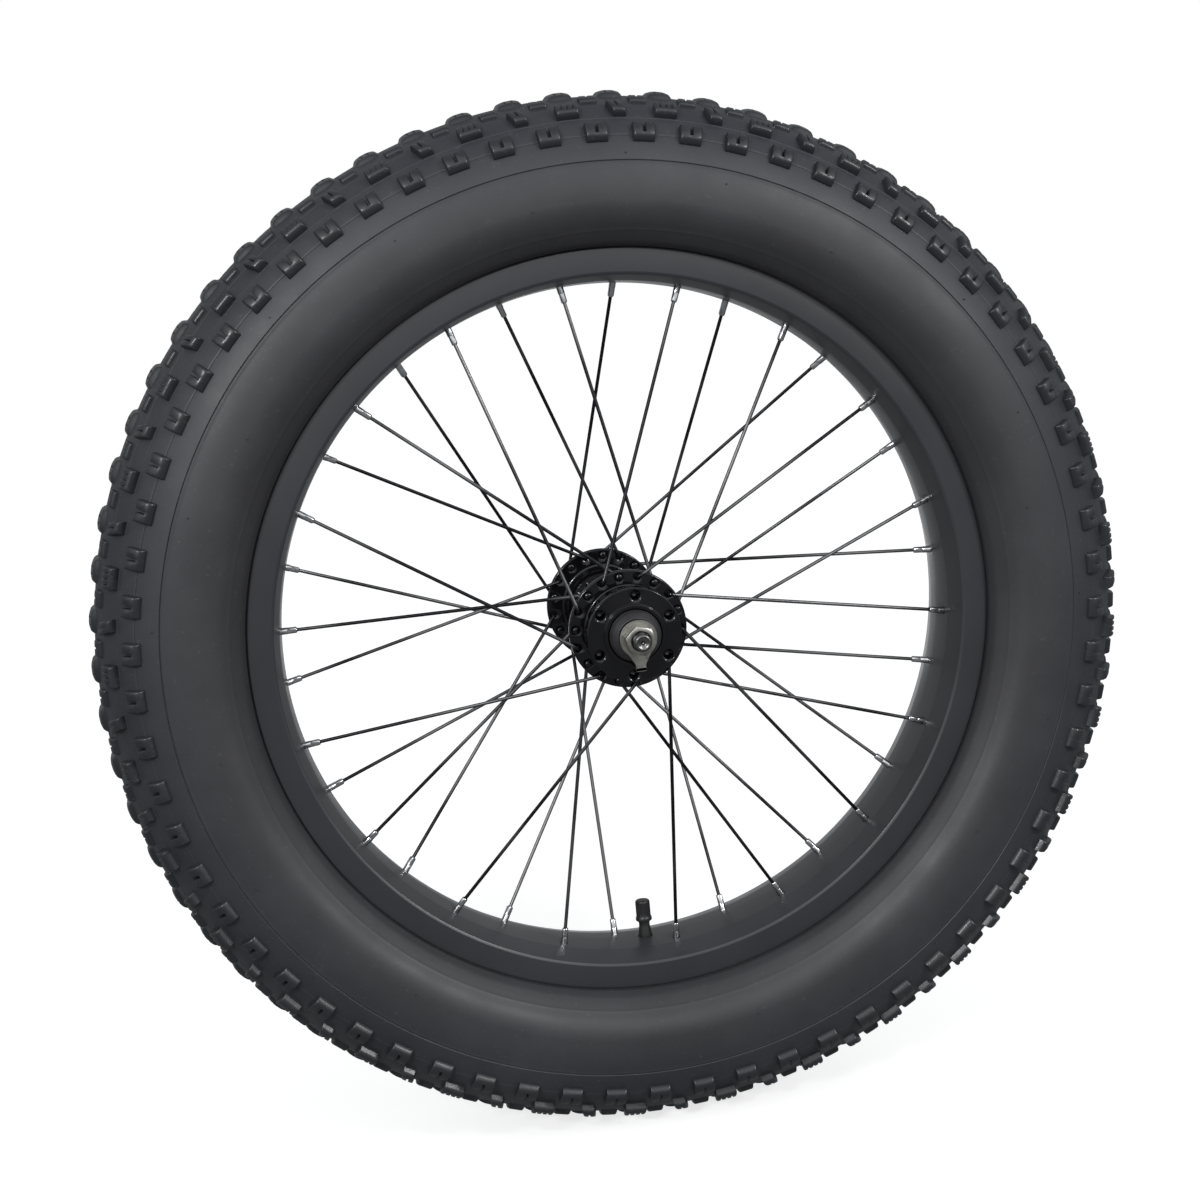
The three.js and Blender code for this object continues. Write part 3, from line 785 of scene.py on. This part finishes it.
hub_outline = rounded([
    (15.0, -HUB_END, 0.3), (17.2, -HUB_END, 0.4), (17.2, DISC_FACE_Y, 0.3), (26.25, DISC_FACE_Y, 0.6),
    (26.25, DISC_FACE_Y + 9, 0.8), (22.5, -44.5, 1.5), (22.5, -40.5, 1.5),
    *flange(DISC_FLANGE_Y, 24.5, 24.0, 1.2, 2.0),
    (20.5, -31.5, 3.0), (19.8, 0.0, 30.0), (20.5, 44.1, 3.0),
    *flange(PLAIN_FLANGE_Y, 23.5, 21.5, 2.0, 1.5),
    (18.0, 53.5, 2.0), (17.2, HUB_END, 0.5), (15.0, HUB_END, 0.3), (15.0, 57.3, 0.3), (13.8, 57.3, 0.3),
    (13.8, 47.3, 0.3), (11.0, 47.3, 0.5), (11.0, -47.3, 0.5), (13.8, -47.3, 0.3), (13.8, -57.3, 0.3),
    (15.0, -57.3, 0.3),
], 5)
hub = piece("hub_shell_piece", revolve(hub_outline, 144))


def flange_hole(head, elbow):
    """A spoke hole, countersunk on both faces of its flange."""
    middle = DISC_FLANGE_Y if head[1] < 0 else PLAIN_FLANGE_Y
    half = FLANGE_THICKNESS / 2
    outline = [
        (0, -half - 0.6), (2.7, -half - 0.6), (2.7, -half), (1.4, -half + 0.75),
        (1.4, half - 0.75), (2.7, half), (2.7, half + 0.6), (0, half + 0.6),
    ]
    return moved(revolve(outline, 16, closed=False), np.eye(3), (head[0], middle, head[2]))


DISC_BOLT_COUNT = 6
DISC_BOLT_CIRCLE_RADIUS = 22.0
FIRST_BOLT_DEG = 6


def disc_bolt_hole(index):
    """A threaded hole's bore, with a rounded mouth and a drilled bottom."""
    outline = [(0, -1), (3.7, -1), (3.7, 0), (3.0, 0.32), (2.6, 0.8), (2.5, 1.4), (2.5, 7.5), (0, 9.0)]
    beta = FIRST_BOLT_DEG + 360 // DISC_BOLT_COUNT * index
    place = polar(DISC_BOLT_CIRCLE_RADIUS, beta, DISC_FACE_Y)
    return moved(revolve(outline, 32, closed=False), np.eye(3), place)


flange_holes = [flange_hole(head, elbow) for head, elbow, _ in layouts]
cut(hub, flange_holes + [disc_bolt_hole(index) for index in range(DISC_BOLT_COUNT)])
install(hub, "wheel", "hub_black", hub_paint, "hub_shell")

# ---------------------------------------------------------------- bearings, nuts and washers

BALL_CIRCLE = 9.4
BALL_Y = 51.6
BALL_RADIUS = 2.38
BALL_COUNT = 9
RACE_RADIUS = 2.7


def race(first, last):
    """The arc of a cup or cone that the balls run in, between two angles round a ball."""
    steps = 8
    angles = [math.radians(first + (last - first) * k / steps) for k in range(steps + 1)]
    return [(BALL_CIRCLE + RACE_RADIUS * math.cos(a), BALL_Y + RACE_RADIUS * math.sin(a)) for a in angles]


def star_plate(radii, angles, bore, low, high, edge):
    """A flat plate whose outline is a distance at each angle, with broken edges and a bore."""
    points = []
    for radius, angle in zip(radii, angles):
        rows = [
            (bore + edge, low), (radius - edge, low), (radius, low + edge), (radius, high - edge),
            (radius - edge, high), (bore + edge, high), (bore, high - edge), (bore, low + edge),
        ]
        points += [(r * math.sin(angle), y, r * math.cos(angle)) for r, y in rows]
    return np.array(points), strip_faces(len(angles), len(rows), True, True)


def hex_nut(across_flats, corner_deg, low, high, bore):
    """A hexagon nut: a cone at each end cuts its corners back in curves."""
    apothem = across_flats / 2
    inside = apothem * 0.97
    points = []
    steps = 96
    for k in range(steps):
        angle = TAU * k / steps
        radius = apothem / math.cos((angle + math.pi / 6) % (math.pi / 3) - math.pi / 6)
        drop = (radius - inside) * math.tan(math.radians(28))
        rows = [
            (bore + 0.5, low), (inside, low), (radius, low + drop), (radius, high - drop), (inside, high),
            (bore + 0.5, high), (bore, high - 0.5), (bore, low + 0.5),
        ]
        turn = angle + math.radians(corner_deg + 30)
        points += [(r * math.sin(turn), y, r * math.cos(turn)) for r, y in rows]
    return np.array(points), strip_faces(steps, len(rows), True, True)


WASHER_RADIUS = 10.35
WASHER_FACES = (LOCKNUT_FACE + 0.3, LOCKNUT_FACE + 2.5)
TAB_HALF_WIDTH = 2.8
TAB_NECK = 14.5                     # where the tab's sides start to spread into the washer
TAB_LEAVE_DEG = 38                  # where the spread meets the round of the washer
TAB_END = -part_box("plain_side_tab_washer")[0].z / MM


def washer_outline():
    """Distance of the tab washer's edge at each angle; the tab points down."""
    neck = math.atan2(TAB_HALF_WIDTH, TAB_NECK)
    tip = math.atan2(TAB_HALF_WIDTH, TAB_END)
    leave = math.radians(TAB_LEAVE_DEG)
    steps = [0.0, tip * 0.5, tip, 0.5 * (tip + neck), neck]
    steps += [neck + (leave - neck) * k / 8 for k in range(1, 9)]
    steps += [leave + (math.pi - leave) * k / 30 for k in range(1, 31)]
    a = np.array([TAB_HALF_WIDTH, TAB_NECK])
    b = WASHER_RADIUS * np.array([math.sin(leave), math.cos(leave)])
    edge = b - a
    radii = []
    for angle in steps:
        if angle <= tip + 1e-9:
            radii.append(TAB_END / math.cos(angle))
        elif angle <= neck + 1e-9:
            radii.append(TAB_HALF_WIDTH / math.sin(angle))
        elif angle < leave - 1e-9:
            ray = np.array([math.sin(angle), math.cos(angle)])
            straight = (a[0] * edge[1] - a[1] * edge[0]) / (ray[0] * edge[1] - ray[1] * edge[0])
            radii.append(max(straight, WASHER_RADIUS))
        else:
            radii.append(WASHER_RADIUS)
    angles = [math.pi + angle for angle in steps] + [math.pi - angle for angle in reversed(steps[1:-1])]
    return radii + list(reversed(radii[1:-1])), angles


def tab_washer(side):
    """The washer, with the end of its tab bent in towards the hub as a hook."""
    inner, outer = WASHER_FACES
    low, high = sorted((side * inner, side * outer))
    plate = star_plate(*washer_outline(), BORE_RADIUS, low, high, 0.25)
    hook = block(
        [-TAB_HALF_WIDTH, TAB_HALF_WIDTH], [0.0, 1.8], [], lambda s, u: 5.5 - SUNK, bevel=0.35, draft=0,
        shoulder=NO_SHOULDER)
    s, u, h = hook[0].T
    return merged([plate, (np.stack([s, side * (outer - SUNK - h), u - TAB_END], -1), hook[1])])


def ball_ring(side):
    steps = 14
    half_turn = [math.pi * k / steps for k in range(steps + 1)]
    half_circle = [(BALL_RADIUS * math.sin(a), -BALL_RADIUS * math.cos(a)) for a in half_turn]
    ball = revolve(half_circle, 24, closed=False)
    places = [polar(BALL_CIRCLE, 360 / BALL_COUNT * k, side * BALL_Y) for k in range(BALL_COUNT)]
    shells = [moved(ball, np.eye(3), place) for place in places]
    retainer = rounded([(9.9, 53.2, 0.2), (11.3, 53.2, 0.2), (11.3, 54.2, 0.3), (9.9, 54.2, 0.3)])
    return merged(shells + [revolve(retainer if side > 0 else other_end(retainer), 64)])


cup_outline = [
    (10.1, 47.6), (13.1, 47.6), (13.5, 48.0), (13.5, 56.6), (13.1, 57.0), (12.4, 57.0)] + race(0, -75)
cone_outline = [(BORE_RADIUS, 50.7), (BORE_RADIUS + 0.3, 50.4), (6.3, 50.4), (6.6, 50.6)] + race(180, 105) + [
    (9.2, 54.6), (9.2, 61.6), (8.8, 62.0), (BORE_RADIUS + 0.3, 62.0), (BORE_RADIUS, 61.7)]
dust_cap_outline = rounded([
    (9.6, 58.9, 0.2), (14.35, 58.9, 0.3), (14.35, 60.8, 0.8), (13.4, 63.6, 1.5), (10.9, 66.6, 0.8),
    (10.3, 66.6, 0.2), (10.3, 65.6, 0.2), (12.6, 62.2, 0.5), (12.6, 60.4, 0.3), (9.6, 60.4, 0.2)])

for prefix, side in (("disc_side", NEAR), ("plain_side", FAR)):
    def at_end(outline):
        return outline if side > 0 else other_end(outline)

    def between_faces(near, far):
        return (near, far) if side > 0 else (-far, -near)

    parts = [
        ("bearing_cup", revolve(at_end(cup_outline), 96), "wheel", "bearing_steel", bearing_steel),
        ("ball_ring", ball_ring(side), prefix + "_balls", "bearing_steel", bearing_steel),
        ("cone", revolve(at_end(cone_outline), 96), "axle_set", "bearing_steel", bearing_steel),
        ("dust_cap", revolve(at_end(dust_cap_outline), 96), "axle_set", "dust_cap_rubber", cap_rubber),
        ("locknut", hex_nut(17, 0, *between_faces(62.3, LOCKNUT_FACE), BORE_RADIUS), "axle_set",
         "bearing_steel", bearing_steel),
        ("tab_washer", tab_washer(side), prefix + "_washer", "plated_steel", zinc_plate),
        ("axle_nut", hex_nut(15, 46, *between_faces(LOCKNUT_FACE + 2.8, NUT_END), BORE_RADIUS),
         prefix + "_nut", "plated_steel", zinc_plate),
    ]
    for part, shell, body, slot, look in parts:
        node = f"{prefix}_{part}"
        install(piece(node + "_piece", shell), body, slot, look, node)

# ---------------------------------------------------------------- axle

THREAD_PITCH = 1.0
THREAD_DEPTH = 0.55


def axle_shell():
    """The axle, with its screw thread from near the cones out to a chamfered, centre-drilled end."""
    end = [
        (0.0, AXLE_END - 2.2), (0.9, AXLE_END - 1.5), (1.4, AXLE_END - 0.5), (2.0, AXLE_END - 0.35),
        (2.7, AXLE_END - 0.3), (2.95, AXLE_END), (4.05, AXLE_END), (4.5, AXLE_END - 0.4),
    ]
    thread_start = 58.0
    rows = int((AXLE_END - 1.0 - thread_start) / THREAD_PITCH * 6)
    thread = [(AXLE_RADIUS, AXLE_END - 1.0 - k * THREAD_PITCH / 6) for k in range(rows)]
    half = end + thread + [(AXLE_RADIUS - 0.1, thread_start - 1), (AXLE_RADIUS - 0.1, 0.0)]
    outline = half + [(r, -y) for r, y in reversed(half[:-1])]

    def thread_groove(angle, y, radius):
        phase = (y / THREAD_PITCH - angle / TAU) % 1.0
        groove = THREAD_DEPTH * (1 - 2 * np.abs(phase - 0.5))
        threaded = (np.abs(y) > thread_start) & (radius > AXLE_RADIUS - 0.05)
        return np.where(threaded, -groove, 0.0)

    return revolve(outline, 48, closed=False, ripple=thread_groove)


install(piece("axle_piece", axle_shell(), 60), "axle_set", "plated_steel", axle_steel, "axle")

# ---------------------------------------------------------------- valve

VALVE_TIP = 171.4
CAP_MOUTH = 180.3
DOWN = np.array([[1, 0, 0], [0, 0, 1], [0, -1, 0]], float)


def valve_piece(outline, sides=48, closed=True, ripple=None):
    """Outline points are (radius about the valve's own axis, distance from the wheel's axle)."""
    return moved(revolve(outline, sides, closed, ripple), DOWN, (0, 0, 0))


def stem_thread(angle, y, radius):
    phase = (y / 0.8 - angle / TAU) % 1.0
    groove = 0.4 * (1 - 2 * np.abs(phase - 0.5))
    return np.where((radius > 3.5) & (y < CAP_MOUTH - 0.6) & (y > VALVE_TIP + 0.3), -groove, 0.0)


thread_rows = [(3.55, VALVE_TIP + 0.3 + 0.13 * k) for k in range(int((CAP_MOUTH - VALVE_TIP - 0.6) / 0.13))]
install(piece("valve_thread", valve_piece(
    [(2.75, VALVE_TIP + 0.3), (2.95, VALVE_TIP), (3.3, VALVE_TIP)] + thread_rows +
    [(2.9, CAP_MOUTH), (2.9, 186.0), (2.75, 186.0)], ripple=stem_thread), 60),
    "wheel", "brass", valve_brass, "valve_stem")
install(piece("valve_stem_rubber", valve_piece(rounded([
    (2.95, CAP_MOUTH + 0.2, 0.1), (3.3, CAP_MOUTH + 0.2, 0.3), (3.1, 183.0, 0.8), (3.95, 188.6, 1.5),
    (3.95, 204.5, 0.8), (8.0, 204.5, 0.3), (8.0, 205.7, 0.3), (1.9, 205.7), (1.9, 195.0), (2.95, 195.0),
]))), "wheel", "valve_rubber", valve_rubber, "valve_stem")
install(piece("valve_core_piece", valve_piece(rounded([
    (1.2, VALVE_TIP + 0.8, 0.1), (2.4, VALVE_TIP + 0.8, 0.2), (2.4, 190.0, 0.2), (1.2, 190.0, 0.1)]))),
    "wheel", "brass", valve_brass, "valve_core")
install(piece("valve_pin_piece", valve_piece(rounded([
    (0, VALVE_TIP - 0.3), (0.8, VALVE_TIP - 0.3, 0.25), (0.8, 190.3, 0.2), (1.9, 190.4, 0.2),
    (1.9, 191.6, 0.3), (0, 191.6)], closed=False), closed=False)), "pin", "brass", valve_brass, "valve_pin")


def cap_ribs(angle, y, radius):
    """Grip ribs round the cap's upper part."""
    fade = np.clip((y - VALVE_CAP_TIP - 1.0) / 0.8, 0, 1) * np.clip((177.2 - y) / 0.8, 0, 1)
    return np.where(radius > 4.05, -0.28 * fade * (0.5 - 0.5 * np.cos(18 * angle)) ** 2, 0.0)


cap_top = [(0, VALVE_CAP_TIP), (2.9, VALVE_CAP_TIP), (3.5, VALVE_CAP_TIP + 0.12), (4.0, VALVE_CAP_TIP + 0.55)]
cap_outside = [(4.22, VALVE_CAP_TIP + 1.1 + 0.5 * k) for k in range(17)]
cap_skirt = [(4.35, 178.0), (4.62, 178.4), (4.7, 179.0), (4.7, CAP_MOUTH - 0.3), (4.5, CAP_MOUTH)]
cap_inside = [
    (4.1, CAP_MOUTH), (3.95, CAP_MOUTH - 0.4), (3.9, VALVE_CAP_TIP + 1.5), (0, VALVE_CAP_TIP + 1.5)]
cap_outline = cap_top + cap_outside + cap_skirt + cap_inside
install(piece("valve_cap_piece", valve_piece(cap_outline, 72, closed=False, ripple=cap_ribs)),
        "cap", "cap_plastic", cap_plastic, "valve_cap")

# ---------------------------------------------------------------- stage, light, camera

FLOOR_HALF = 9.0
DOME_RADIUS = 14.0
FRONT_LIGHT = 0.86
WALL_LIGHT = 0.8
LOW_LIGHT = 0.2
HIGH_LIGHT = 0.35
floor_z = cad_box[0][2]


def floor_mesh():
    mesh = bpy.data.meshes.new("floor")
    corners = [(-1, -1), (1, -1), (1, 1), (-1, 1)]
    mesh.from_pydata([(x * FLOOR_HALF, y * FLOOR_HALF, floor_z) for x, y in corners], [], [(0, 1, 2, 3)])
    obj = bpy.data.objects.new("floor", mesh)
    bpy.context.scene.collection.objects.link(obj)
    return obj


floor = floor_mesh()
floor.data.materials.append(plain_look(
    "studio_floor", (0.50, 0.50, 0.50), (0.52, 0.52, 0.52), (0.8, 0.95), 1.5, 60.0, 0.00005,
    Specular_IOR_Level=0.05, Emission_Color=(1, 1, 1, 1), Emission_Strength=0.72))
floor.visible_diffuse = False
floor.visible_glossy = False


def backdrop():
    """A white dome behind everything, which lights nothing."""
    steps = 24
    outline = [(DOME_RADIUS * math.sin(math.pi * k / steps), -DOME_RADIUS * math.cos(math.pi * k / steps))
               for k in range(steps + 1)]
    dome = piece("backdrop", revolve([(r / MM, y / MM) for r, y in outline], 48, closed=False))
    glow = bpy.data.materials.new("backdrop_white")
    glow.use_nodes = True
    nodes = glow.node_tree.nodes
    emission = nodes.new("ShaderNodeEmission")
    emission.inputs["Color"].default_value = (1, 1, 1, 1)
    emission.inputs["Strength"].default_value = 1.0
    glow.node_tree.links.new(emission.outputs["Emission"], nodes["Material Output"].inputs["Surface"])
    dome.data.materials.append(glow)
    for kind in ("visible_diffuse", "visible_glossy", "visible_transmission", "visible_shadow"):
        setattr(dome, kind, False)


backdrop()
scene = bpy.context.scene
scene.view_settings.view_transform = "Standard"


def studio_light():
    """A plain studio: a wide soft light in front and above, a white wall behind, dim elsewhere."""
    world = bpy.data.worlds.new("studio")
    world.use_nodes = True
    nodes, links = world.node_tree.nodes, world.node_tree.links
    split = nodes.new("ShaderNodeSeparateXYZ")
    links.new(nodes.new("ShaderNodeTexCoord").outputs["Generated"], split.inputs["Vector"])

    def edge(axis, start, end, low, high):
        node = nodes.new("ShaderNodeMapRange")
        node.interpolation_type = "SMOOTHSTEP"
        for socket, value in zip(node.inputs[1:5], (start, end, low, high)):
            socket.default_value = value
        links.new(split.outputs[axis], node.inputs["Value"])
        return node.outputs["Result"]

    def maths(operation, first, second):
        node = nodes.new("ShaderNodeMath")
        node.operation = operation
        links.new(first, node.inputs[0])
        links.new(second, node.inputs[1])
        return node.outputs["Value"]

    front = maths("MULTIPLY", edge("Z", -0.05, 0.3, 0, FRONT_LIGHT), edge("Z", 0.72, 0.95, 1, 0))
    front = maths("MULTIPLY", front, edge("Y", -0.35, 0.15, 1, 0))
    wall = maths("MULTIPLY", edge("Y", 0.93, 0.975, 0, WALL_LIGHT), edge("Z", -0.14, -0.02, 1, 0))
    rest = edge("Z", -0.3, 0.3, LOW_LIGHT, HIGH_LIGHT)
    background = nodes["Background"]
    background.inputs["Color"].default_value = (0.96, 0.98, 1, 1)
    links.new(maths("ADD", maths("ADD", front, wall), rest), background.inputs["Strength"])
    scene.world = world


def strobe(name, place, size, radiance):
    """A small square light that gives the paint and plating their bright points."""
    light = bpy.data.lights.new(name, "AREA")
    light.shape = "SQUARE"
    light.size = size
    light.energy = radiance * math.pi * size * size
    lamp = bpy.data.objects.new(name, light)
    lamp.location = place
    lamp.rotation_euler = Vector(place).to_track_quat("Z", "Y").to_euler()
    scene.collection.objects.link(lamp)


studio_light()
strobe("strobe_left", (-1.45, -2.35, 1.25), 0.34, 70.0)
strobe("strobe_right", (1.75, -2.2, 1.25), 0.34, 64.0)

camera = bpy.data.cameras.new("camera")
camera.lens = 70.079
camera.sensor_width = 36.0
camera.clip_start = 0.01
view = bpy.data.objects.new("camera", camera)
view.location = (-0.205006, -1.294714, 0.243656)
view.rotation_euler = [math.radians(a) for a in (79.89442, 5.15825, -9.54331)]
scene.collection.objects.link(view)
scene.camera = view
